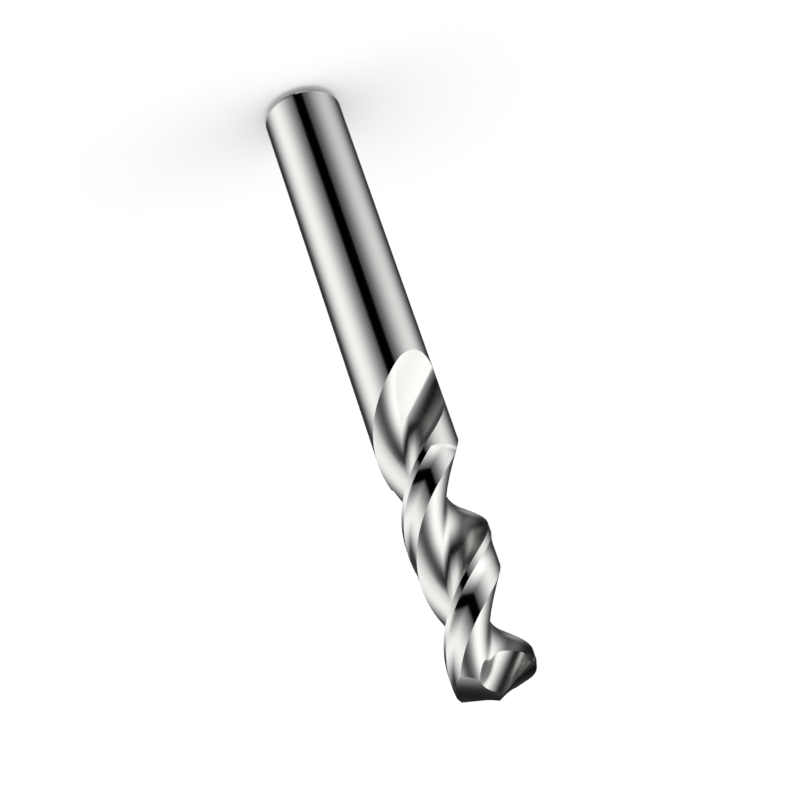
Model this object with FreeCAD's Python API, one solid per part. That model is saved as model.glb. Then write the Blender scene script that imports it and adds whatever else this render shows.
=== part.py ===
import FreeCAD
import Part
import math
import os

# Twist drill ground from one bar: plain shank, two right-hand flutes, relieved lands, gashed point.
# The Z axis is the drill's axis and points from the shank to the point.
# The origin is the centre of the shank's end face, on which the drill stands.
# Lengths are in millimetres and angles in degrees.

# Blank
diameter = 10.0
overall_length = 89.0
shank_length = 42.7
shank_chamfer = 1.1
back_taper = 0.04

# Flutes: cross-section square to the axis, angles counted ahead of the cutting edge
flute_count = 2
lead = 34.9
web_thickness = 2.9
root_angle = 62.0
root_radius = 1.6
rake_radius = 8.0
heel_angle = 123.0
heel_radius = 3.1

# Flute wheel: it stops this far from the point and leaves its own round shape there
full_flute_length = 38.5
wheel_radius = 33.0
wheel_setting = 39.0

# Lands: margin left at full size, then a hollow ramp down to the relieved land
margin_angle = 11.0
ramp_end_angle = 33.0
relief_depth = 0.16
ramp_hollow = 0.05
relief_length = 31.7

# Point: two flanks, which fall away behind their lips faster at the centre than at the corner
point_angle = 135.0
centre_clearance = 25.0
corner_clearance = 7.0
flank_radius = 24.0

# Gashes: a V groove with a round root along each lip, which thins the web
gash_lip_offset = 0.12
gash_rake = 29.8
gash_tilt = 23.6
gash_root_start = 1.8
gash_root_radius = 2.05
gash_wall_angle = 109.0
gash_length = 9.0
gash_skin = 0.05

# Where the cutting edge stands at the outer corner, seen from the point
corner_angle = -65.7

# Working values
radius = diameter / 2
shank_radius = radius - back_taper / 2
relieved_radius = radius - relief_depth
tooth_pitch = 360.0 / flute_count
half_point = math.radians(point_angle / 2)
corner_drop = radius / math.tan(half_point)
corner_height = overall_length - corner_drop
lip_turn = corner_angle - math.degrees(math.asin(gash_lip_offset / radius))
lip_length = radius / math.sin(half_point)
up = FreeCAD.Vector(0, 0, 1)

# How far each cut runs past the metal that it removes
overrun = 0.8
ramp_overrun = 0.3
heel_overrun = 12.0
point_overrun = 2.0
flank_overrun = 3.0
runout_overrun = 0.1
outside = 2 * radius

# How finely the flute is followed: sections along it, stations across each arc, steps to its contact
section_pitch = lead / 12
runout_pitch = section_pitch / 3
rake_stations = 5
root_stations = 3
heel_stations = 6
contact_step = lead / 200
contact_halvings = 30


def polar(distance, angle, height=0.0):
    """Point at a distance from the axis and an angle about it."""
    turn = math.radians(angle)
    return FreeCAD.Vector(distance * math.cos(turn), distance * math.sin(turn), height)


def helix_turn(height):
    """Angle of the cutting edge at a height."""
    return corner_angle + 360.0 * (height - corner_height) / lead


def turned(point, angle, height):
    """A point of a cross-section, turned about the axis and set at a height."""
    turn = math.radians(angle)
    x = point.x * math.cos(turn) - point.y * math.sin(turn)
    y = point.x * math.sin(turn) + point.y * math.cos(turn)
    return FreeCAD.Vector(x, y, height)


def touching_centre(through, reach, other, gap):
    """Centre that is one distance from a point and another from a second centre."""
    across = other - through
    span = across.Length
    along = (reach ** 2 - gap ** 2 + span ** 2) / (2 * span)
    rise = math.sqrt(reach ** 2 - along ** 2)
    step = across * (1 / span)
    side = FreeCAD.Vector(step.y, -step.x, 0)
    return through + step * along + side * rise


def arc_stations(centre, start, sweep, size, count):
    """Points and tangents along an arc, evenly spaced."""
    stations = []
    for index in range(count + 1):
        turn = start + sweep * index / count
        outward = FreeCAD.Vector(math.cos(turn), math.sin(turn), 0)
        tangent = FreeCAD.Vector(-outward.y, outward.x, 0)
        stations.append((centre + outward * size, tangent * math.copysign(1, sweep)))
    return stations


def direction(vector):
    """Angle of a vector in the cross-section, in radians."""
    return math.atan2(vector.y, vector.x)


def flute_stations():
    """Flute cross-section, cutting edge at angle 0: rake arc, root arc and rolled heel arc."""
    edge = polar(radius, 0)
    heel = polar(relieved_radius, heel_angle)
    root_centre = polar(web_thickness / 2 + root_radius, root_angle)
    rake_centre = touching_centre(edge, rake_radius, root_centre, rake_radius - root_radius)
    heel_centre = touching_centre(heel, heel_radius, root_centre, heel_radius + root_radius)

    rake_start = direction(edge - rake_centre) + overrun / rake_radius
    rake_end = direction(root_centre - rake_centre)
    root_end = direction(heel_centre - root_centre)
    heel_start = root_end + math.pi
    heel_end = direction(heel - heel_centre) + overrun / heel_radius

    rake_sweep = -((rake_start - rake_end) % (2 * math.pi))
    root_sweep = -((rake_end - root_end) % (2 * math.pi))
    heel_sweep = (heel_end - heel_start) % (2 * math.pi)

    stations = arc_stations(rake_centre, rake_start, rake_sweep, rake_radius, rake_stations)
    stations += arc_stations(root_centre, rake_end, root_sweep, root_radius, root_stations)[1:]
    stations += arc_stations(heel_centre, heel_start, heel_sweep, heel_radius, heel_stations)[1:]
    return stations


# Flute wheel: its axis is square to the radius at the flute's root and tilted to follow the helix
wheel_height = overall_length - full_flute_length
wheel_root_angle = helix_turn(wheel_height) + root_angle
wheel_centre = polar(web_thickness / 2 + wheel_radius, wheel_root_angle, wheel_height)
wheel_tilt = math.radians(wheel_setting)
wheel_sideways = polar(-math.cos(wheel_tilt), wheel_root_angle + 90)
wheel_axis = wheel_sideways + up * math.sin(wheel_tilt)


def on_helix(station, height):
    """The station's point on the helical flute, and the flute's normal there."""
    point, tangent = station
    turn = helix_turn(height)
    place = turned(point, turn, height)
    along = turned(tangent, turn, 0)
    rate = 2 * math.pi / lead
    rise = rate * (along.x * place.x + along.y * place.y)
    return place, FreeCAD.Vector(along.y, -along.x, rise)


def wheel_miss(station, height):
    """Zero where the flute's normal meets the wheel's axis, that is, where the wheel touches."""
    place, normal = on_helix(station, height)
    return normal.dot(wheel_axis.cross(place - wheel_centre))


def contact_height(station, guess):
    """Height at which the stopped wheel touches this station's helix."""
    low = guess
    high = guess
    while high - low < lead:
        low -= contact_step
        high += contact_step
        for first, second in ((low, low + contact_step), (high - contact_step, high)):
            if wheel_miss(station, first) * wheel_miss(station, second) <= 0:
                return refined_height(station, first, second)
    return guess


def refined_height(station, low, high):
    """Contact height between two heights, by halving."""
    for _ in range(contact_halvings):
        middle = (low + high) / 2
        if wheel_miss(station, low) * wheel_miss(station, middle) <= 0:
            high = middle
        else:
            low = middle
    return (low + high) / 2


def on_wheel(contact, height):
    """Where the wheel's circle through a contact point crosses a height."""
    centre = wheel_centre + wheel_axis * (contact - wheel_centre).dot(wheel_axis)
    spoke = contact - centre
    ahead = wheel_axis.cross(spoke)
    if ahead.z > 0:
        ahead = ahead * -1
    reach = math.hypot(spoke.z, ahead.z)
    lean = math.atan2(ahead.z, spoke.z)
    turn = lean + math.acos((height - centre.z) / reach)
    return centre + spoke * math.cos(turn) + ahead * math.sin(turn)


def flute_tracks():
    """Each station with the point where it leaves the helix for the wheel's circle."""
    stations = flute_stations()
    root = min(range(len(stations)), key=lambda index: stations[index][0].Length)
    heights = [wheel_height] * len(stations)
    for index in range(root, len(stations)):
        heights[index] = contact_height(stations[index], heights[max(index - 1, root)])
    for index in reversed(range(root)):
        heights[index] = contact_height(stations[index], heights[index + 1])
    return list(zip(stations, heights))


def flute_curve(tracks, height):
    """Points of the flute's cross-section at a height, from outside the edge to outside the heel."""
    points = []
    for station, leaving in tracks:
        if height >= leaving:
            points.append(on_helix(station, height)[0])
        else:
            contact = on_helix(station, leaving)[0]
            points.append(on_wheel(contact, height))
    return points


def spacing(tracks):
    """Distance along the flute's cross-section at which each station lies."""
    marks = [0.0]
    points = [station[0] for station, leaving in tracks]
    for first, second in zip(points, points[1:]):
        marks.append(marks[-1] + (second - first).Length)
    return marks


def flute_wire(points, marks, height):
    """Closed outline of what the wheel removes: the flute's curve, closed well outside the blank."""
    curve = Part.BSplineCurve()
    curve.interpolate(Points=points, Parameters=marks)
    away = polar(outside, helix_turn(max(height, wheel_height)) + root_angle)
    corners = [points[-1], points[-1] + away, points[0] + away, points[0]]
    edges = [curve.toShape()]
    for first, second in zip(corners, corners[1:]):
        edges.append(Part.makeLine(first, second))
    return Part.Wire(edges)


def flute_chip():
    """All that one pass of the flute wheel removes, run-out included."""
    tracks = flute_tracks()
    marks = spacing(tracks)
    wires = []
    height = overall_length + point_overrun
    top_contact = max(leaving for station, leaving in tracks)
    clear = False
    while not clear:
        points = flute_curve(tracks, height)
        wires.append(flute_wire(points, marks, height))
        clear = min(math.hypot(point.x, point.y) for point in points) > radius + runout_overrun
        height -= section_pitch if height > top_contact + section_pitch else runout_pitch
    return Part.makeLoft(wires, True, False)


def relief_wire(height):
    """Outline of what is ground off behind one margin: hollow ramp, then the relieved land."""
    turn = helix_turn(height)
    top = polar(radius, turn - margin_angle, height)
    bottom = polar(relieved_radius, turn - ramp_end_angle, height)
    chord = top - bottom
    ramp_radius = (chord.Length ** 2 / 4 + ramp_hollow ** 2) / (2 * ramp_hollow)
    along = chord * (1 / chord.Length)
    out = FreeCAD.Vector(along.y, -along.x, 0)
    centre = (top + bottom) * 0.5 + out * (ramp_radius - ramp_hollow)
    half_span = math.asin(chord.Length / 2 / ramp_radius)

    def on_ramp(share):
        lean = half_span * share
        return centre + (along * math.sin(lean) - out * math.cos(lean)) * ramp_radius

    ramp_top = on_ramp(1 + ramp_overrun)
    last_angle = tooth_pitch - heel_angle + heel_overrun
    land_middle = polar(relieved_radius, turn - (ramp_end_angle + last_angle) / 2, height)
    land_end = polar(relieved_radius, turn - last_angle, height)
    middle_angle = (margin_angle + last_angle) / 2
    outer = [polar(outside, turn - angle, height) for angle in (last_angle, middle_angle, margin_angle)]
    edges = [Part.Arc(ramp_top, on_ramp(0), bottom).toShape()]
    edges.append(Part.Arc(bottom, land_middle, land_end).toShape())
    loop = [land_end] + outer + [ramp_top]
    for first, second in zip(loop, loop[1:]):
        edges.append(Part.makeLine(first, second))
    return Part.Wire(edges)


def relief_chip():
    """All that is ground off one land."""
    bottom = overall_length - relief_length
    top = overall_length + point_overrun
    count = math.ceil((top - bottom) / section_pitch)
    wires = []
    for index in range(count + 1):
        wires.append(relief_wire(bottom + (top - bottom) * index / count))
    return Part.makeLoft(wires, True, False)


def blank():
    """Round bar: chamfered shank end, plain shank, and a body that grows slightly towards the point."""
    end = Part.makeCone(shank_radius - shank_chamfer, shank_radius, shank_chamfer)
    shank = Part.makeCylinder(shank_radius, shank_length - shank_chamfer, up * shank_chamfer)
    body = Part.makeCone(shank_radius, radius, overall_length - shank_length, up * shank_length)
    return end.fuse([shank, body])


def flank_wire(along):
    """Section square to one lip, at a distance along it: an arc that falls at the clearance there."""
    outward = polar(1, lip_turn)
    behind = polar(1, lip_turn - 90)
    lip = outward * math.sin(half_point) - up * math.cos(half_point)
    normal = outward * math.cos(half_point) + up * math.sin(half_point)
    edge = up * overall_length + lip * along
    fall = (corner_clearance - centre_clearance) / lip_length
    clearance = math.radians(centre_clearance + fall * along)
    centre = edge - (behind * math.sin(clearance) + normal * math.cos(clearance)) * flank_radius

    def on_flank(turn):
        return centre + (behind * math.sin(turn) + normal * math.cos(turn)) * flank_radius

    spread = math.asin(outside / flank_radius)
    first = on_flank(clearance - spread)
    last = on_flank(clearance + spread)
    lift = normal * outside * 2
    edges = [Part.Arc(first, on_flank(clearance), last).toShape()]
    edges.append(Part.makeLine(last, last + lift))
    edges.append(Part.makeLine(last + lift, first + lift))
    edges.append(Part.makeLine(first + lift, first))
    return Part.Wire(edges)


def flank_stock():
    """What the point grinding takes off above one flank: sections along the lip, joined straight."""
    wires = [flank_wire(along) for along in (-flank_overrun, lip_length + flank_overrun)]
    return Part.makeLoft(wires, True, True)


def gash_stock():
    """What the narrow wheel takes out in front of one lip: a groove with a round root."""
    rake = math.radians(gash_rake)
    corner_offset = gash_lip_offset - corner_drop * math.tan(rake)
    turn = corner_angle - math.degrees(math.asin(corner_offset / radius))
    outward = polar(1, turn)
    down = polar(math.sin(rake), turn - 90) - up * math.cos(rake)
    tilt = math.radians(gash_tilt)
    run = outward * math.sin(tilt) + down * math.cos(tilt)
    inward = down * math.sin(tilt) - outward * math.cos(tilt)
    ahead = run.cross(inward)

    beside_lip = polar(gash_lip_offset, turn + 90, overall_length)
    root_start = beside_lip + outward * gash_root_start + ahead * gash_skin
    centre = root_start + ahead * gash_root_radius
    wall = math.radians(gash_wall_angle)

    def on_root(lean):
        return centre + (inward * math.sin(lean) - ahead * math.cos(lean)) * gash_root_radius

    wall_start = on_root(wall)
    wall_end = wall_start + (inward * math.cos(wall) + ahead * math.sin(wall)) * outside
    face_end = root_start - inward * outside
    edges = [Part.makeLine(face_end, root_start)]
    edges.append(Part.Arc(root_start, on_root(wall / 2), wall_start).toShape())
    edges.append(Part.makeLine(wall_start, wall_end))
    edges.append(Part.makeLine(wall_end, face_end + ahead * outside))
    edges.append(Part.makeLine(face_end + ahead * outside, face_end))
    face = Part.Face(Part.Wire(edges))
    face.translate(run * -gash_length)
    return face.extrude(run * gash_length * 2)


def around(shape, count):
    """Copies of a shape set evenly about the axis."""
    copies = []
    for index in range(count):
        copy = shape.copy()
        copy.rotate(FreeCAD.Vector(0, 0, 0), FreeCAD.Vector(0, 0, 1), index * 360.0 / count)
        copies.append(copy)
    return copies


def drill_bit():
    """The whole drill, one solid."""
    drill = blank()
    for chip in (flute_chip(), relief_chip(), flank_stock(), gash_stock()):
        for copy in around(chip, flute_count):
            drill = drill.cut(copy)
    return drill


os.makedirs("parts", exist_ok=True)
drill_bit().exportStep("parts/drill_bit.step")
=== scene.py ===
# %% [markdown]
# # A twist drill bit in bright ground steel
# The real object is one bar of high-speed steel, about 10 mm thick and 89 mm long.
# A grinding wheel cuts two helical flutes into it, a second pass lowers the lands behind the
# cutting edges, and the point is ground last.
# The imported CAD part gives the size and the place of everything. Blender's job here is the look:
# finer surfaces than the CAD mesh has, so that reflections run smoothly, and steel that shows how
# each surface was ground.

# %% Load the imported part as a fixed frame
import math
import bmesh
import bpy
from mathutils import Matrix, Vector


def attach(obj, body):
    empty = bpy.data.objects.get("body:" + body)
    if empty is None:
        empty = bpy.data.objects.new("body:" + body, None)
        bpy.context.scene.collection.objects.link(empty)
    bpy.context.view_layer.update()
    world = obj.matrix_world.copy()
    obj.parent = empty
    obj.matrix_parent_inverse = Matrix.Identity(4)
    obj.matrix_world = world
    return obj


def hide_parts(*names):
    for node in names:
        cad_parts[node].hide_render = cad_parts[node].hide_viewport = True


MM = 0.001
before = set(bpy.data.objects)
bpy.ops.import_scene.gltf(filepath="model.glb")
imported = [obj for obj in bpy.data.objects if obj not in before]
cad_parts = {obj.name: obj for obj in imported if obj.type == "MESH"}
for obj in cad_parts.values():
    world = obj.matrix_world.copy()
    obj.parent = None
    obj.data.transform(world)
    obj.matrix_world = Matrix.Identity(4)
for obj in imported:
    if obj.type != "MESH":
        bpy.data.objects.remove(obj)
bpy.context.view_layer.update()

# %% [markdown]
# ## The drill's main sizes
# Polished steel shows every flat of a coarse mesh. So the drill is made again from the sizes of the
# CAD part, with many more faces, and it takes the CAD part's place in the picture.
# Sizes are in millimetres and degrees, as on a drill maker's drawing, and each one is given where it
# is first needed. The drill stands on its shank with its axis along Z, and the point is at the top.

# %% Set the main sizes
UP = Vector((0, 0, 1))
DIAMETER = 10.0
RADIUS = DIAMETER / 2
OVERALL_LENGTH = 89.0
FLUTE_COUNT = 2
TOOTH_PITCH = 360 / FLUTE_COUNT
OUTSIDE = 2 * RADIUS  # a distance that is well outside the bar, for the far side of each cutter
PAST_POINT = 2.0  # how far the cutters run on above the point
print("Length over diameter:", OVERALL_LENGTH / DIAMETER)

# %% [markdown]
# ## Points given by distance and angle
# On a round tool it is easier to say how far a point is from the axis, and at what angle, than to
# give X and Y. One helper turns that into a point. A second one spaces numbers evenly, for the
# stations along an arc or the sections along the drill.

# %% Make the two small helpers
def polar(distance, angle, height=0.0):
    turn = math.radians(angle)
    return Vector((distance * math.cos(turn), distance * math.sin(turn), height))


def spaced(start, end, count):
    return [start + (end - start) * index / count for index in range(count + 1)]


print("A quarter turn in three steps:", spaced(0, 90, 3))

# %% [markdown]
# ## One helper for every ground surface
# Each surface on a drill is the trace of a moving outline: a circle turned round the axis, a flute
# outline carried along a helix, an arc pushed along a straight line. So one helper is enough. It
# takes the outline at many places, joins each outline to the next with faces, and closes the ends.
# It also lays a UV map over the faces, in millimetres: U runs across the grinding lines and V
# along them. The steel reads that map later, so its fine lines always run the way the wheel ran.

# %% Join outlines with faces, and lay the UV map over them
def length_marks(points):
    marks = [0.0]
    for first, second in zip(points, points[1:]):
        marks.append(marks[-1] + (second - first).length)
    return marks


def sweep_faces(outlines, lines_along):
    """The faces between neighbouring outlines, and a UV pair for each of their corners."""
    size = len(outlines[0])
    middle = outlines[len(outlines) // 2]
    across = length_marks(middle + [middle[0]])
    along = length_marks([sum(outline, Vector()) / size for outline in outlines])
    faces = []
    coordinates = []
    for row in range(len(outlines) - 1):
        for column in range(size):
            following = (column + 1) % size
            faces.append((row * size + column, row * size + following,
                          (row + 1) * size + following, (row + 1) * size + column))
            near, far = across[column], across[column + 1]
            low, high = along[row], along[row + 1]
            corners = ((near, low), (far, low), (far, high), (near, high))
            coordinates += corners if lines_along else [(v, u) for u, v in corners]
    return faces, coordinates


square = [Vector((x, y, 0)) for x, y in ((0, 0), (1, 0), (1, 1), (0, 1))]
raised = [point + UP for point in square]
print("Two squares are joined by", len(sweep_faces([square, raised], True)[0]), "faces")

# %% [markdown]
# The two end outlines become one flat face each, so that the mesh is closed, as a boolean needs it.
# A boolean also needs to know inside from outside. So the volume is measured, and where it comes
# out negative, the faces point inwards and are turned round.

# %% Close the ends and make the object
UV_MAP = "grinding"


def swept(name, outlines, lines_along=True):
    """A closed mesh through outlines with the same number of points each."""
    size = len(outlines[0])
    points = [point * MM for outline in outlines for point in outline]
    faces, coordinates = sweep_faces(outlines, lines_along)
    last = (len(outlines) - 1) * size
    faces.append(tuple(reversed(range(size))))
    faces.append(tuple(range(last, last + size)))
    coordinates += [(0.0, 0.0)] * (2 * size)
    mesh = bpy.data.meshes.new(name)
    mesh.from_pydata(points, [], faces)
    layer = mesh.uv_layers.new(name=UV_MAP)
    layer.data.foreach_set("uv", [value for pair in coordinates for value in pair])
    solid = bmesh.new()
    solid.from_mesh(mesh)
    if solid.calc_volume(signed=True) < 0:
        mesh.flip_normals()
    solid.free()
    piece = bpy.data.objects.new(name, mesh)
    bpy.context.scene.collection.objects.link(piece)
    bpy.context.view_layer.update()
    return piece


print("Every surface gets the UV map", UV_MAP)

# %% [markdown]
# ## The round bar
# On the real drill this is a centreless-ground rod: a flat end with a chamfer, a plain shank, and a
# body that grows by hundredths of a millimetre towards the point so that it doesn't bind in the hole.
# Blender's own cylinder can't change its diameter along the way, so the bar is swept through four
# rings of points, one at each change. The lathe-like lines of the grinding run around the bar, so
# here the lines go along each ring.

# %% Make the round bar
BACK_TAPER = 0.04
SHANK_RADIUS = RADIUS - BACK_TAPER / 2
SHANK_LENGTH = 42.7
SHANK_CHAMFER = 1.1
BAR_SIDES = 240


def ring(radius, height):
    return [polar(radius, angle, height) for angle in spaced(0, 360, BAR_SIDES)[:-1]]


bar_profile = [(SHANK_RADIUS - SHANK_CHAMFER, 0), (SHANK_RADIUS, SHANK_CHAMFER),
               (SHANK_RADIUS, SHANK_LENGTH), (RADIUS, OVERALL_LENGTH)]
drill = swept("drill", [ring(radius, height) for radius, height in bar_profile], lines_along=False)
print("Bar:", len(drill.data.polygons), "faces")

# %% [markdown]
# ## The flute's cross-section
# Seen square to the axis, a flute is three arcs that run into each other: the rake face behind the
# cutting edge, the tight root next to the drill's core, and the heel wall, which rolls over
# outwards to the back of the next land.
# Two of the arcs are given by what they touch: a point that they pass through and the root's own
# arc. The helper finds the centre of such an arc from those two distances.

# %% Place the centres of the three arcs
WEB_THICKNESS = 2.9
ROOT_ANGLE = 62.0
ROOT_RADIUS = 1.6
RAKE_RADIUS = 8.0
HEEL_ANGLE = 123.0
HEEL_RADIUS = 3.1
LAND_RELIEF = 0.28
RELIEVED_RADIUS = RADIUS - LAND_RELIEF


def touching_centre(through, reach, other, gap):
    """The point at one distance from a first point and at another distance from a second."""
    across = other - through
    along = (reach ** 2 - gap ** 2 + across.length_squared) / (2 * across.length)
    rise = math.sqrt(reach ** 2 - along ** 2)
    step = across.normalized()
    return through + step * along + Vector((step.y, -step.x, 0)) * rise


edge = polar(RADIUS, 0)
heel = polar(RELIEVED_RADIUS, HEEL_ANGLE)
root_centre = polar(WEB_THICKNESS / 2 + ROOT_RADIUS, ROOT_ANGLE)
rake_centre = touching_centre(edge, RAKE_RADIUS, root_centre, RAKE_RADIUS - ROOT_RADIUS)
heel_centre = touching_centre(heel, HEEL_RADIUS, root_centre, HEEL_RADIUS + ROOT_RADIUS)
print("Heel arc's centre:", [round(value, 2) for value in heel_centre.xy], "mm")

# %% [markdown]
# Now points are spaced along the arcs, from outside the bar at the cutting edge to outside it at
# the heel, so that the cutter runs clear of the steel at both ends. Each point keeps its direction
# of travel too, because the next step needs to know which way the surface faces.

# %% Space the stations along the three arcs
OVERRUN = 0.8
RAKE_STATIONS, ROOT_STATIONS, HEEL_STATIONS = 34, 22, 46
FULL_TURN = 2 * math.pi


def bearing(vector):
    return math.atan2(vector.y, vector.x)


def arc_stations(centre, start, sweep, size, count):
    stations = []
    for turn in spaced(start, start + sweep, count):
        outward = Vector((math.cos(turn), math.sin(turn), 0))
        tangent = Vector((-outward.y, outward.x, 0)) * math.copysign(1, sweep)
        stations.append((centre + outward * size, tangent))
    return stations


rake_start = bearing(edge - rake_centre) + OVERRUN / RAKE_RADIUS
rake_end = bearing(root_centre - rake_centre)
root_end = bearing(heel_centre - root_centre)
heel_start = root_end + math.pi
heel_end = bearing(heel - heel_centre) + OVERRUN / HEEL_RADIUS
rake_sweep = -((rake_start - rake_end) % FULL_TURN)
root_sweep = -((rake_end - root_end) % FULL_TURN)
heel_sweep = (heel_end - heel_start) % FULL_TURN
stations = arc_stations(rake_centre, rake_start, rake_sweep, RAKE_RADIUS, RAKE_STATIONS)
stations += arc_stations(root_centre, rake_end, root_sweep, ROOT_RADIUS, ROOT_STATIONS)[1:]
stations += arc_stations(heel_centre, heel_start, heel_sweep, HEEL_RADIUS, HEEL_STATIONS)[1:]
print("Flute outline:", len(stations), "points")

# %% [markdown]
# ## The flute along the drill
# The outline follows a helix: it turns in step with its height, once round in each lead. The angle
# is counted from the cutting edge's outer corner, just below the point. A Screw modifier could turn
# an outline like that, but it couldn't follow the wheel out of the steel at the end, so the
# sections are worked out one by one.
# At each height a point of the outline also gives the direction in which the flute's surface faces.
# It is square both to the outline and to the helix.

# %% Follow the helix
LEAD = 34.9
HALF_POINT = math.radians(135.0 / 2)
CORNER_ANGLE = -65.7
CORNER_DROP = RADIUS / math.tan(HALF_POINT)
CORNER_HEIGHT = OVERALL_LENGTH - CORNER_DROP


def helix_turn(height):
    return CORNER_ANGLE + 360 * (height - CORNER_HEIGHT) / LEAD


def on_helix(station, height):
    turn = Matrix.Rotation(math.radians(helix_turn(height)), 3, "Z")
    place = turn @ station[0] + UP * height
    along = turn @ station[1]
    rise = FULL_TURN / LEAD * (along.x * place.x + along.y * place.y)
    return place, Vector((along.y, -along.x, rise))


print("Outer corner at height", round(CORNER_HEIGHT, 2), "mm, helix of",
      round(math.degrees(math.atan(math.pi * DIAMETER / LEAD))), "degrees")

# %% [markdown]
# ## Where the grinding wheel leaves the steel
# Below the full flute the wheel stops and lifts out, and it leaves its own round shape in the
# steel: the long scoop that fades into the shank.
# For each point of the outline there is one height at which it stops following the helix and
# follows the wheel's circle instead. That is where the flute's normal passes through the wheel's
# axis. The search steps outwards from a neighbour's height until the miss changes its sign, and
# then halves the step until the height is exact.

# %% Find each point's last height on the helix
WHEEL_HEIGHT = OVERALL_LENGTH - 38.5
WHEEL_RADIUS = 33.0
WHEEL_SETTING = math.radians(39.0)
CONTACT_STEP = LEAD / 200
HALVINGS = 30
wheel_root_angle = helix_turn(WHEEL_HEIGHT) + ROOT_ANGLE
wheel_centre = polar(WEB_THICKNESS / 2 + WHEEL_RADIUS, wheel_root_angle, WHEEL_HEIGHT)
wheel_axis = polar(-math.cos(WHEEL_SETTING), wheel_root_angle + 90) + UP * math.sin(WHEEL_SETTING)


def wheel_miss(station, height):
    place, normal = on_helix(station, height)
    return normal.dot(wheel_axis.cross(place - wheel_centre))


def halved(station, low, high):
    for _ in range(HALVINGS):
        middle = (low + high) / 2
        if wheel_miss(station, low) * wheel_miss(station, middle) <= 0:
            high = middle
        else:
            low = middle
    return (low + high) / 2


def contact_height(station, guess):
    low = high = guess
    while high - low < LEAD:
        low -= CONTACT_STEP
        high += CONTACT_STEP
        for first, second in ((low, low + CONTACT_STEP), (high - CONTACT_STEP, high)):
            if wheel_miss(station, first) * wheel_miss(station, second) <= 0:
                return halved(station, first, second)
    return guess


root = min(range(len(stations)), key=lambda index: stations[index][0].length)
contacts = [WHEEL_HEIGHT] * len(stations)
for index in range(root, len(stations)):
    contacts[index] = contact_height(stations[index], contacts[max(index - 1, root)])
for index in reversed(range(root)):
    contacts[index] = contact_height(stations[index], contacts[index + 1])
print("The flute leaves the helix between", round(min(contacts), 1), "and", round(max(contacts), 1), "mm")

# %% [markdown]
# ## The flute's sections, from the point down to the shank
# Above its last height on the helix, a point of the outline turns with the helix. Below it, the
# point swings down along the wheel's circle.
# Two more points far outside the bar close each section. The sections go down until even their
# innermost point has left the bar, and they lie closer together in the run-out, where the shape
# changes quickly.

# %% Make the flute's sections
SECTION_PITCH = 0.3
RUNOUT_PITCH = 0.15
RUNOUT_MARGIN = 1.0
CLEAR_OF_BAR = 0.1


def on_wheel(contact, height):
    centre = wheel_centre + wheel_axis * (contact - wheel_centre).dot(wheel_axis)
    spoke = contact - centre
    ahead = wheel_axis.cross(spoke)
    if ahead.z > 0:
        ahead = -ahead
    turn = math.atan2(ahead.z, spoke.z) + math.acos((height - centre.z) / math.hypot(spoke.z, ahead.z))
    return centre + spoke * math.cos(turn) + ahead * math.sin(turn)


def flute_outline(height):
    points = []
    for station, contact in zip(stations, contacts):
        if height >= contact:
            points.append(on_helix(station, height)[0])
        else:
            points.append(on_wheel(on_helix(station, contact)[0], height))
    away = polar(OUTSIDE, helix_turn(max(height, WHEEL_HEIGHT)) + ROOT_ANGLE)
    return points + [points[-1] + away, points[0] + away]


def inside_bar(outline):
    return min(point.xy.length for point in outline) < RADIUS + CLEAR_OF_BAR


height = OVERALL_LENGTH + PAST_POINT
flute_outlines = [flute_outline(height)]
while inside_bar(flute_outlines[-1]):
    height -= SECTION_PITCH if height > max(contacts) + RUNOUT_MARGIN else RUNOUT_PITCH
    flute_outlines.append(flute_outline(height))
print("Flute:", len(flute_outlines), "sections, run-out ends near height", round(height, 1), "mm")

# %% [markdown]
# ## The land, ground down behind its margin
# Only a narrow margin behind the cutting edge keeps the full diameter and guides the drill. The rest
# of the land is ground down by a little over a quarter of a millimetre, so that it doesn't rub.
# A flat ramp leads from the margin down to the land and meets it without an edge. The photograph's
# reflections only come out right with such a ramp, and with a land that lies a tenth of a
# millimetre deeper than the CAD part's.
# The wheel comes in from outside over a third of a millimetre, which leaves the bright arc at the
# lower end of the relief.

# %% Make the sections of the relief
MARGIN_ANGLE = 11.0
RAMP_END_ANGLE = MARGIN_ANGLE + math.degrees(math.acos(RELIEVED_RADIUS / RADIUS))
RAMP_OVERSHOOT = 1.2
HEEL_OVERRUN = 12.0
RAMP_STATIONS, LAND_STATIONS = 14, 30
RELIEF_HEIGHT = OVERALL_LENGTH - 31.7
RELIEF_ENTRY = 0.35
ENTRY_LIFT = RADIUS - RELIEVED_RADIUS + 0.03
ENTRY_SECTIONS, RELIEF_SECTIONS = 4, 100


def relief_outline(height):
    turn = helix_turn(height)
    top = polar(RADIUS, turn - MARGIN_ANGLE, height)
    bottom = polar(RELIEVED_RADIUS, turn - RAMP_END_ANGLE, height)
    ramp = [bottom + (top - bottom) * share for share in spaced(RAMP_OVERSHOOT, 0, RAMP_STATIONS)]
    last_angle = TOOTH_PITCH - HEEL_ANGLE + HEEL_OVERRUN
    land = [polar(RELIEVED_RADIUS, turn - angle, height)
            for angle in spaced(RAMP_END_ANGLE, last_angle, LAND_STATIONS)[1:]]
    closing = [polar(OUTSIDE, turn - angle, height)
               for angle in (last_angle, (MARGIN_ANGLE + last_angle) / 2, MARGIN_ANGLE)]
    lift = max(0, 1 - (height - RELIEF_HEIGHT) / RELIEF_ENTRY) * ENTRY_LIFT
    ground = [point + Vector((point.x, point.y, 0)).normalized() * lift for point in ramp + land]
    return ground + closing


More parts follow.
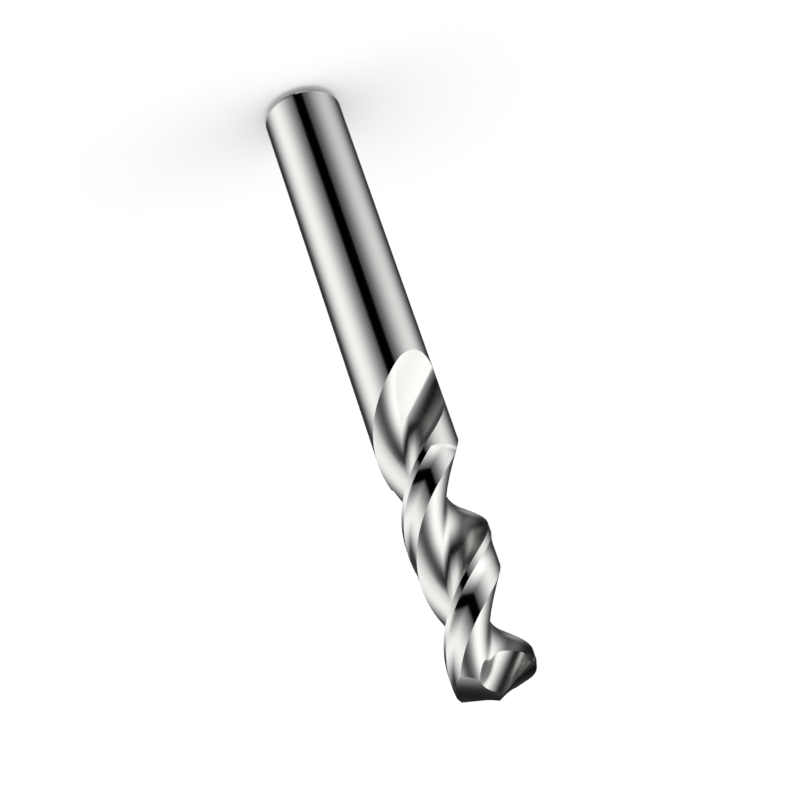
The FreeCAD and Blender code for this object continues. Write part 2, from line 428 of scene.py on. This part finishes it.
relief_heights = spaced(RELIEF_HEIGHT, RELIEF_HEIGHT + RELIEF_ENTRY, ENTRY_SECTIONS)
relief_heights += spaced(relief_heights[-1], OVERALL_LENGTH + PAST_POINT, RELIEF_SECTIONS)[1:]
relief_outlines = [relief_outline(height) for height in relief_heights]
print("Relief:", len(relief_outlines), "sections, ramp ends at", round(RAMP_END_ANGLE, 1), "degrees")

# %% [markdown]
# ## The two flanks of the point
# A flank is the face behind a cutting lip. It has to fall away behind the lip, or the drill would
# rub instead of cutting, and it falls faster at the centre than at the outer corner.
# An arc does that. It passes through the lip, its lean changes along the lip from one clearance to
# the other, and the cutter is swept from one arc to the next.

# %% Make the sections of a flank
CENTRE_CLEARANCE = 25.0
CORNER_CLEARANCE = 7.0
FLANK_RADIUS = 24.0
FLANK_OVERRUN = 3.0
FLANK_STATIONS, FLANK_SECTIONS = 90, 40
GASH_LIP_OFFSET = 0.12  # how far the lip stands ahead of the axis
lip_turn = CORNER_ANGLE - math.degrees(math.asin(GASH_LIP_OFFSET / RADIUS))
outward = polar(1, lip_turn)
behind = polar(1, lip_turn - 90)
lip = outward * math.sin(HALF_POINT) - UP * math.cos(HALF_POINT)
normal = outward * math.cos(HALF_POINT) + UP * math.sin(HALF_POINT)
tip = UP * OVERALL_LENGTH
lip_length = RADIUS / math.sin(HALF_POINT)
flank_spread = math.asin(OUTSIDE / FLANK_RADIUS)


def flank_outline(along):
    clearance = math.radians(CENTRE_CLEARANCE + (CORNER_CLEARANCE - CENTRE_CLEARANCE) * along / lip_length)
    on_flank = tip + lip * along
    centre = on_flank - (behind * math.sin(clearance) + normal * math.cos(clearance)) * FLANK_RADIUS
    arc = [centre + (behind * math.sin(turn) + normal * math.cos(turn)) * FLANK_RADIUS
           for turn in spaced(clearance - flank_spread, clearance + flank_spread, FLANK_STATIONS)]
    lift = normal * OUTSIDE * 2
    return arc + [arc[-1] + lift, arc[0] + lift]


along_lip = spaced(-FLANK_OVERRUN, lip_length + FLANK_OVERRUN, FLANK_SECTIONS)
flank_outlines = [flank_outline(along) for along in along_lip]
print("Flank:", len(flank_outlines), "sections along a lip of", round(lip_length, 2), "mm")

# %% [markdown]
# ## The gashes that split the point
# At the centre of a plain point the web only scrapes. So a narrow wheel with a round edge cuts a
# gash along each lip, which thins the web and gives the centre a cutting edge of its own.
# The gash keeps one profile: a straight side along the lip, a round root and a straight wall. So
# that profile is simply pushed along one straight line, tilted the way the wheel is set.

# %% Make the sections of a gash
GASH_RAKE = math.radians(29.8)
GASH_TILT = math.radians(23.6)
GASH_ROOT_START = 1.8
GASH_ROOT_RADIUS = 2.05
GASH_WALL_ANGLE = math.radians(109.0)
GASH_SKIN = 0.05
GASH_REACH = 9.0
GASH_STATIONS, GASH_SECTIONS = 40, 8
corner_offset = GASH_LIP_OFFSET - CORNER_DROP * math.tan(GASH_RAKE)
gash_turn = CORNER_ANGLE - math.degrees(math.asin(corner_offset / RADIUS))
gash_outward = polar(1, gash_turn)
down = polar(math.sin(GASH_RAKE), gash_turn - 90) - UP * math.cos(GASH_RAKE)
run = gash_outward * math.sin(GASH_TILT) + down * math.cos(GASH_TILT)
inward = down * math.sin(GASH_TILT) - gash_outward * math.cos(GASH_TILT)
ahead = run.cross(inward)
on_lip = polar(GASH_LIP_OFFSET, gash_turn + 90, OVERALL_LENGTH)
root_start = on_lip + gash_outward * GASH_ROOT_START + ahead * GASH_SKIN
gash_centre = root_start + ahead * GASH_ROOT_RADIUS
wall_run = inward * math.cos(GASH_WALL_ANGLE) + ahead * math.sin(GASH_WALL_ANGLE)
gash_profile = [root_start - inward * OUTSIDE]
gash_profile += [gash_centre + (inward * math.sin(lean) - ahead * math.cos(lean)) * GASH_ROOT_RADIUS
                 for lean in spaced(0, GASH_WALL_ANGLE, GASH_STATIONS)]
gash_profile.append(gash_profile[-1] + wall_run * OUTSIDE)
gash_profile.append(gash_profile[0] + ahead * OUTSIDE)
gash_outlines = [[point + run * shift for point in gash_profile]
                 for shift in spaced(-GASH_REACH, GASH_REACH, GASH_SECTIONS)]
print("Gash:", len(gash_profile), "points in its profile")

# %% [markdown]
# ## The lines that a grinding wheel leaves
# Bare steel has no colour of its own beyond a slightly warm grey: all that one sees is what it
# reflects. So the finish is in its roughness and in the fine lines that the wheel leaves.
# A photograph of scratches would show its repeats, so the lines are a noise that reads the UV map,
# squeezed along U and stretched along V. A second, broad noise is laid over the whole drill and
# keeps large surfaces from looking computer-clean.

# %% Make the two noises
LINE_DETAIL, LINE_ROUGHNESS = 3.0, 0.65
CLOUD_SCALE, CLOUD_DETAIL = 160.0, 2.0


def grinding_lines(tree, line_pitch, line_length):
    """A noise of lines that are line_pitch apart and about line_length long, in mm."""
    uv = tree.nodes.new("ShaderNodeUVMap")
    uv.uv_map = UV_MAP
    scale = tree.nodes.new("ShaderNodeMapping")
    scale.inputs["Scale"].default_value = (1 / line_pitch, 1 / line_length, 1.0)
    lines = tree.nodes.new("ShaderNodeTexNoise")
    lines.inputs["Scale"].default_value = 1.0
    lines.inputs["Detail"].default_value = LINE_DETAIL
    lines.inputs["Roughness"].default_value = LINE_ROUGHNESS
    tree.links.new(uv.outputs["UV"], scale.inputs["Vector"])
    tree.links.new(scale.outputs["Vector"], lines.inputs["Vector"])
    return lines.outputs["Fac"]


def broad_cloud(tree):
    place = tree.nodes.new("ShaderNodeTexCoord")
    cloud = tree.nodes.new("ShaderNodeTexNoise")
    cloud.inputs["Scale"].default_value = CLOUD_SCALE
    cloud.inputs["Detail"].default_value = CLOUD_DETAIL
    tree.links.new(place.outputs["Object"], cloud.inputs["Vector"])
    return cloud.outputs["Fac"]


print("The broad noise changes about every", round(1 / CLOUD_SCALE / MM, 1), "mm")

# %% [markdown]
# ## Steel, ground in five ways
# The same recipe makes each finish. The sum of the two noises moves the roughness up and down a
# little, and the lines alone also make a very shallow bump. What differs is the wheel: a fine one
# for the bar, a coarser one for the flutes and the gashes. The numbers were chosen by comparing how
# sharp the reflections are on each surface of the photograph.

# %% Make the five steel finishes
STEEL_COLOUR = (0.62, 0.62, 0.605, 1.0)
NOISE_LOW, NOISE_HIGH = 0.6, 1.4
GROOVE_DEPTH = 0.01 * MM


def ground_steel(name, roughness, spread, line_pitch, line_length, depth):
    """Steel of one roughness, give or take a spread, with lines in mm and a bump strength."""
    material = bpy.data.materials.new(name)
    material.use_nodes = True
    tree = material.node_tree
    steel = tree.nodes["Principled BSDF"]
    steel.inputs["Base Color"].default_value = STEEL_COLOUR
    steel.inputs["Metallic"].default_value = 1.0
    lines = grinding_lines(tree, line_pitch, line_length)
    both = tree.nodes.new("ShaderNodeMath")
    both.operation = "ADD"
    tree.links.new(lines, both.inputs[0])
    tree.links.new(broad_cloud(tree), both.inputs[1])
    finish = tree.nodes.new("ShaderNodeMapRange")
    finish.inputs["From Min"].default_value = NOISE_LOW
    finish.inputs["From Max"].default_value = NOISE_HIGH
    finish.inputs["To Min"].default_value = roughness - spread
    finish.inputs["To Max"].default_value = roughness + spread
    tree.links.new(both.outputs["Value"], finish.inputs["Value"])
    tree.links.new(finish.outputs["Result"], steel.inputs["Roughness"])
    bump = tree.nodes.new("ShaderNodeBump")
    bump.inputs["Strength"].default_value = depth
    bump.inputs["Distance"].default_value = GROOVE_DEPTH
    tree.links.new(lines, bump.inputs["Height"])
    tree.links.new(bump.outputs["Normal"], steel.inputs["Normal"])
    return material


bar_steel = ground_steel("steel_bar", 0.09, 0.02, line_pitch=0.05, line_length=5.0, depth=0.1)
flute_steel = ground_steel("steel_flute", 0.25, 0.03, line_pitch=0.12, line_length=9.0, depth=0.1)
land_steel = ground_steel("steel_land", 0.11, 0.02, line_pitch=0.06, line_length=6.0, depth=0.1)
flank_steel = ground_steel("steel_flank", 0.17, 0.03, line_pitch=0.10, line_length=7.0, depth=0.15)
gash_steel = ground_steel("steel_gash", 0.27, 0.04, line_pitch=0.16, line_length=5.0, depth=0.3)
print("Finishes:", [steel.name for steel in (bar_steel, flute_steel, land_steel, flank_steel, gash_steel)])

# %% [markdown]
# ## Cutting the drill
# Now the bar is ground the way a workshop does it. Each cutter is a closed solid, and Blender's
# exact boolean takes it away. The new faces keep the cutter's material and its UV map, so every
# surface knows which wheel made it.
# The order matters to the boolean. The large flank cutters come first, while the bar is still
# plain: cut last, across thousands of flute faces, they took the whole bar away.

# %% Cut the flanks, flutes, relief and gashes
def cut(piece, name, outlines, material):
    """Take the swept cutter away from the piece, once for each tooth."""
    for copy in range(FLUTE_COUNT):
        turn = Matrix.Rotation(math.radians(copy * TOOTH_PITCH), 3, "Z")
        cutter = swept(name, [[turn @ point for point in outline] for outline in outlines])
        cutter.data.materials.append(material)
        boolean = piece.modifiers.new(name, "BOOLEAN")
        boolean.operation = "DIFFERENCE"
        boolean.solver = "EXACT"
        boolean.material_mode = "TRANSFER"
        boolean.object = cutter
        made = bpy.data.meshes.new_from_object(piece.evaluated_get(bpy.context.evaluated_depsgraph_get()))
        piece.modifiers.clear()
        piece.data = made
        bpy.data.objects.remove(cutter)
    print(name, "leaves", len(piece.data.polygons), "faces")


drill.data.materials.append(bar_steel)
cut(drill, "flank", flank_outlines, flank_steel)
cut(drill, "flute", flute_outlines, flute_steel)
cut(drill, "relief", relief_outlines, land_steel)
cut(drill, "gash", gash_outlines, gash_steel)

# %% [markdown]
# ## Smooth faces, crisp edges
# A ground edge is sharp, while the surface on each side of it is smooth. So all faces are shaded
# smooth, and an edge is marked sharp where two different wheels met or where the angle is large.

# %% Mark the sharp edges
SHARP = math.radians(18)


def mark_edges(mesh):
    sides = {}
    for face in mesh.polygons:
        for key in face.edge_keys:
            sides.setdefault(key, []).append(face)
    count = 0
    for side in mesh.edges:
        faces = sides[side.key]
        if len(faces) == 2:
            first, second = faces
            corner = first.normal.angle(second.normal, 0.0) > SHARP
            side.use_edge_sharp = corner or first.material_index != second.material_index
            count += side.use_edge_sharp
    return count


drill.data.polygons.foreach_set("use_smooth", [True] * len(drill.data.polygons))
print("Sharp edges:", mark_edges(drill.data))

# %% [markdown]
# ## Take the CAD part's place
# The finished drill stands for the one CAD node. It rides on the part's only body. The number of triangles
# is printed, because a piece should stay well under 200,000.

# %% Name the drill and tie it to the CAD part
drill.name = drill.data.name = "ground_drill"
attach(drill, "root")
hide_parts("drill_bit")
print("Triangles in the drill:", sum(len(face.vertices) - 2 for face in drill.data.polygons))

# %% [markdown]
# ## The camera
# The photograph was taken from about 33 degrees above the shank's side, close to the point, with
# a long lens. The drill hangs point-down and to the right in it, so the camera is rolled as well.
# First, two things are written down as the camera sees them: the direction of the drill's axis and
# the place of the shank's end. Seen from the drill, those give the camera's own place and its sides.

# %% Work out where the camera stands
VIEW_FOCAL = 2768.0
VIEW_PITCH = math.radians(33.29)
VIEW_YAW = math.radians(18.96)
VIEW_DISTANCE = 357.4
END_PIXEL = (301.22, 111.54)
PICTURE = 800

axis_seen = Vector((math.cos(VIEW_PITCH) * math.sin(VIEW_YAW), math.cos(VIEW_PITCH) * math.cos(VIEW_YAW),
                    -math.sin(VIEW_PITCH)))
end_ray = [(pixel - PICTURE / 2) / VIEW_FOCAL for pixel in END_PIXEL]
end_seen = Vector((*end_ray, 1)) * VIEW_DISTANCE
towards = -end_seen.normalized()
x_seen = (towards - axis_seen * towards.dot(axis_seen)).normalized()
y_seen = axis_seen.cross(x_seen)
to_drill = Matrix((x_seen, y_seen, axis_seen))
camera_place = to_drill @ -end_seen
print("Camera at", [round(value, 1) for value in camera_place], "mm")

# %% [markdown]
# In the camera's own frame X runs to the right, Y up and Z backwards, so the three sides that were
# seen as right, down and forward fill the columns of its matrix, two of them with the sign changed.

# %% Place the camera
SENSOR_WIDTH = 36.0
NEAREST = 10 * MM
right, below, forward = (to_drill @ Vector(side) for side in ((1, 0, 0), (0, 1, 0), (0, 0, 1)))
camera_data = bpy.data.cameras.new("camera")
camera_data.sensor_width = SENSOR_WIDTH
camera_data.lens = SENSOR_WIDTH * VIEW_FOCAL / PICTURE
camera_data.clip_start = NEAREST
camera_data.dof.use_dof = False
camera = bpy.data.objects.new("camera", camera_data)
camera_sides = Matrix((right, -below, -forward)).transposed().to_4x4()
camera.matrix_world = Matrix.Translation(camera_place * MM) @ camera_sides
bpy.context.scene.collection.objects.link(camera)
bpy.context.scene.camera = camera
print("Lens:", round(camera_data.lens, 1), "mm")

# %% [markdown]
# ## A pale floor
# The photograph shows the drill on plain white. Here it stands on its shank end on a pale floor, as
# such a drill can. The camera looks down and sees nothing but that floor, which is white because of
# its own paint.
# In a real studio the floor would also show in the steel and wash out its black stripes. So here it
# is hidden from reflections, and the low parts of the studio show in its place.

# %% Make the floor
FLOOR_HALF = 3.0
FLOOR_WHITE = 0.95
MATT = 0.9
floor_mesh = bpy.data.meshes.new("floor")
floor_corners = [(x * FLOOR_HALF, y * FLOOR_HALF, 0) for x, y in ((-1, -1), (1, -1), (1, 1), (-1, 1))]
floor_mesh.from_pydata(floor_corners, [], [(0, 1, 2, 3)])
floor = bpy.data.objects.new("floor", floor_mesh)
bpy.context.scene.collection.objects.link(floor)
floor_paint = bpy.data.materials.new("floor_paint")
floor_paint.use_nodes = True
paint = floor_paint.node_tree.nodes["Principled BSDF"]
paint.inputs["Base Color"].default_value = (FLOOR_WHITE, FLOOR_WHITE, FLOOR_WHITE, 1)
paint.inputs["Roughness"].default_value = MATT
paint.inputs["Specular IOR Level"].default_value = 0.0
floor_mesh.materials.append(floor_paint)
floor.visible_glossy = False
print("Floor:", 2 * FLOOR_HALF, "m wide")

# %% [markdown]
# ## A studio made of angles
# Polished steel looks like steel because of the bright and dark shapes that stand round it. In a
# real studio those are lamps, paper and black card. They could be built as glowing planes, but a
# plane has a hard edge. So the world takes their place: its shader works out, for each direction,
# how bright the studio is there, with edges as soft as they need to be.
# A direction is given by two angles. Azimuth 0 is the camera's side, and it grows towards the left
# of the picture. Elevation 0 is level and 90 is straight up.

# %% Start the world's shader and read the two angles
world = bpy.data.worlds.new("studio")
bpy.context.scene.world = world
world.use_nodes = True
studio_nodes = world.node_tree.nodes
studio_links = world.node_tree.links


def studio_math(operation, first, second=0.0):
    node = studio_nodes.new("ShaderNodeMath")
    node.operation = operation
    for socket, value in zip(node.inputs, (first, second)):
        if isinstance(value, bpy.types.NodeSocket):
            studio_links.new(value, socket)
        else:
            socket.default_value = value
    return node.outputs["Value"]


sky = studio_nodes.new("ShaderNodeTexCoord")
parts = studio_nodes.new("ShaderNodeSeparateXYZ")
studio_links.new(sky.outputs["Generated"], parts.inputs["Vector"])
azimuth = studio_math("ARCTAN2", parts.outputs["Y"], parts.outputs["X"])
from_front = studio_math("ABSOLUTE", azimuth)
elevation = studio_math("ARCSINE", parts.outputs["Z"])
print("Nodes in the studio so far:", len(studio_nodes))

# %% [markdown]
# ## Patches with soft edges
# Each lamp or card is a patch of the studio with up to four edges. An edge is two angles: where the
# patch has ended, and where it has its full strength. Between them it fades smoothly, which is what
# gives steel its long soft gradients. Wide fades make the gradients on the shank, and narrow ones
# make the crisp black marks in the flutes.

# %% Make the helper for a patch
def soft_edge(angle, end, full):
    """0 where the angle is at end, 1 at full, with a smooth slope between them."""
    node = studio_nodes.new("ShaderNodeMapRange")
    node.interpolation_type = "SMOOTHSTEP"
    studio_links.new(angle, node.inputs["Value"])
    node.inputs["From Min"].default_value = math.radians(min(end, full))
    node.inputs["From Max"].default_value = math.radians(max(end, full))
    node.inputs["To Min"].default_value = 0.0 if end < full else 1.0
    node.inputs["To Max"].default_value = 1.0 if end < full else 0.0
    return node.outputs["Result"]


def patch(strength, right=None, left=None, back=None, bottom=None, top=None):
    """A patch of light or shade; each edge that it has is a pair (end, full) in degrees."""
    level = strength
    edges = ((azimuth, right), (azimuth, left), (from_front, back), (elevation, bottom), (elevation, top))
    for angle, edge in edges:
        if edge:
            level = studio_math("MULTIPLY", level, soft_edge(angle, *edge))
    return level


print("A patch may have an edge to the right, left, back, bottom and top")

# %% [markdown]
# ## The lamps
# Two large panels stand to the right and to the left of the drill and draw the two light bands on
# its shank. A dim glow below the right one and a faint fill keep the low parts from going black.
# The ceiling is even and about as bright as white paper, so that a face that looks up still shows
# as steel. A small lamp straight overhead, which few faces of the drill reflect, gives the floor
# the rest of its light. A brighter ceiling would do that as well, but it would turn the flanks of
# the point as white as the floor behind them.
# The angles were found by comparing the render with the photograph, one band of light at a time.

# %% Hang the lamps
right_panel = patch(3.1, right=(-152, -42), left=(-12, -113), bottom=(-64, -14), top=(56, 44))
left_panel = patch(1.38, right=(-29, 67), left=(143, 77), bottom=(-46, -40), top=(54, 44))
low_glow = patch(0.25, right=(-150, -124), left=(27, -60), bottom=(-88, -57), top=(-55, -66))
fill = patch(0.05, bottom=(-65, -62))
ceiling = patch(1.1, bottom=(42, 54))
overhead = patch(3.2, bottom=(68, 78))
light = right_panel
for lamp in (left_panel, low_glow, fill, ceiling, overhead):
    light = studio_math("ADD", light, lamp)
print("Nodes in the studio so far:", len(studio_nodes))

# %% [markdown]
# ## White paper behind the drill
# Behind the drill a dark card stands above the level and white paper below it. The card keeps the
# flanks and the edges of the flutes dark, and the paper draws the thin pale rim along both sides
# of the shank.

# %% Set the back of the studio
def shaded(level, card):
    return studio_math("MULTIPLY", level, studio_math("SUBTRACT", 1.0, card))


back_card = patch(1.0, back=(159, 165), bottom=(-18, 9), top=(58, 54))
paper = patch(1.5, back=(162, 168), bottom=(-43, -39), top=(-19, -97))
paper_foot = patch(0.45, left=(-146, -149), bottom=(-62, -50), top=(-40, -47))
light = shaded(light, back_card)
for sheet in (paper, paper_foot):
    light = studio_math("ADD", light, sheet)
print("Nodes in the studio so far:", len(studio_nodes))

# %% [markdown]
# ## Black cards
# Black cards are what makes steel look polished. The front strip is the gap between the two panels,
# where the camera stands, and it draws the black stripe down the shank. The low card and the small
# top strip draw the black arrowheads in the flutes. The high card and the side card darken the
# lands and the flank at the point.

# %% Set up the cards and switch the studio on
front_strip = patch(1.0, right=(-23, -10), left=(13, 5), top=(24, 12))
side_card = patch(0.75, right=(108, 130), bottom=(12, 28), top=(60, 54))
low_card = patch(1.0, right=(-23, -16), left=(77, -22), bottom=(-43, -41), top=(0, -2))
top_strip = patch(1.0, right=(-8, 0), left=(22, 20), bottom=(9, 11), top=(26, 17))
high_card = patch(0.8, right=(-107, -37), left=(15, -12), bottom=(21, 27), top=(56, 48))
for card in (front_strip, side_card, low_card, top_strip, high_card):
    light = shaded(light, card)
background = studio_nodes["Background"]
studio_links.new(light, background.inputs["Color"])
background.inputs["Strength"].default_value = 1.0
bpy.context.scene.view_settings.view_transform = "Standard"
print("Nodes in the finished studio:", len(studio_nodes))
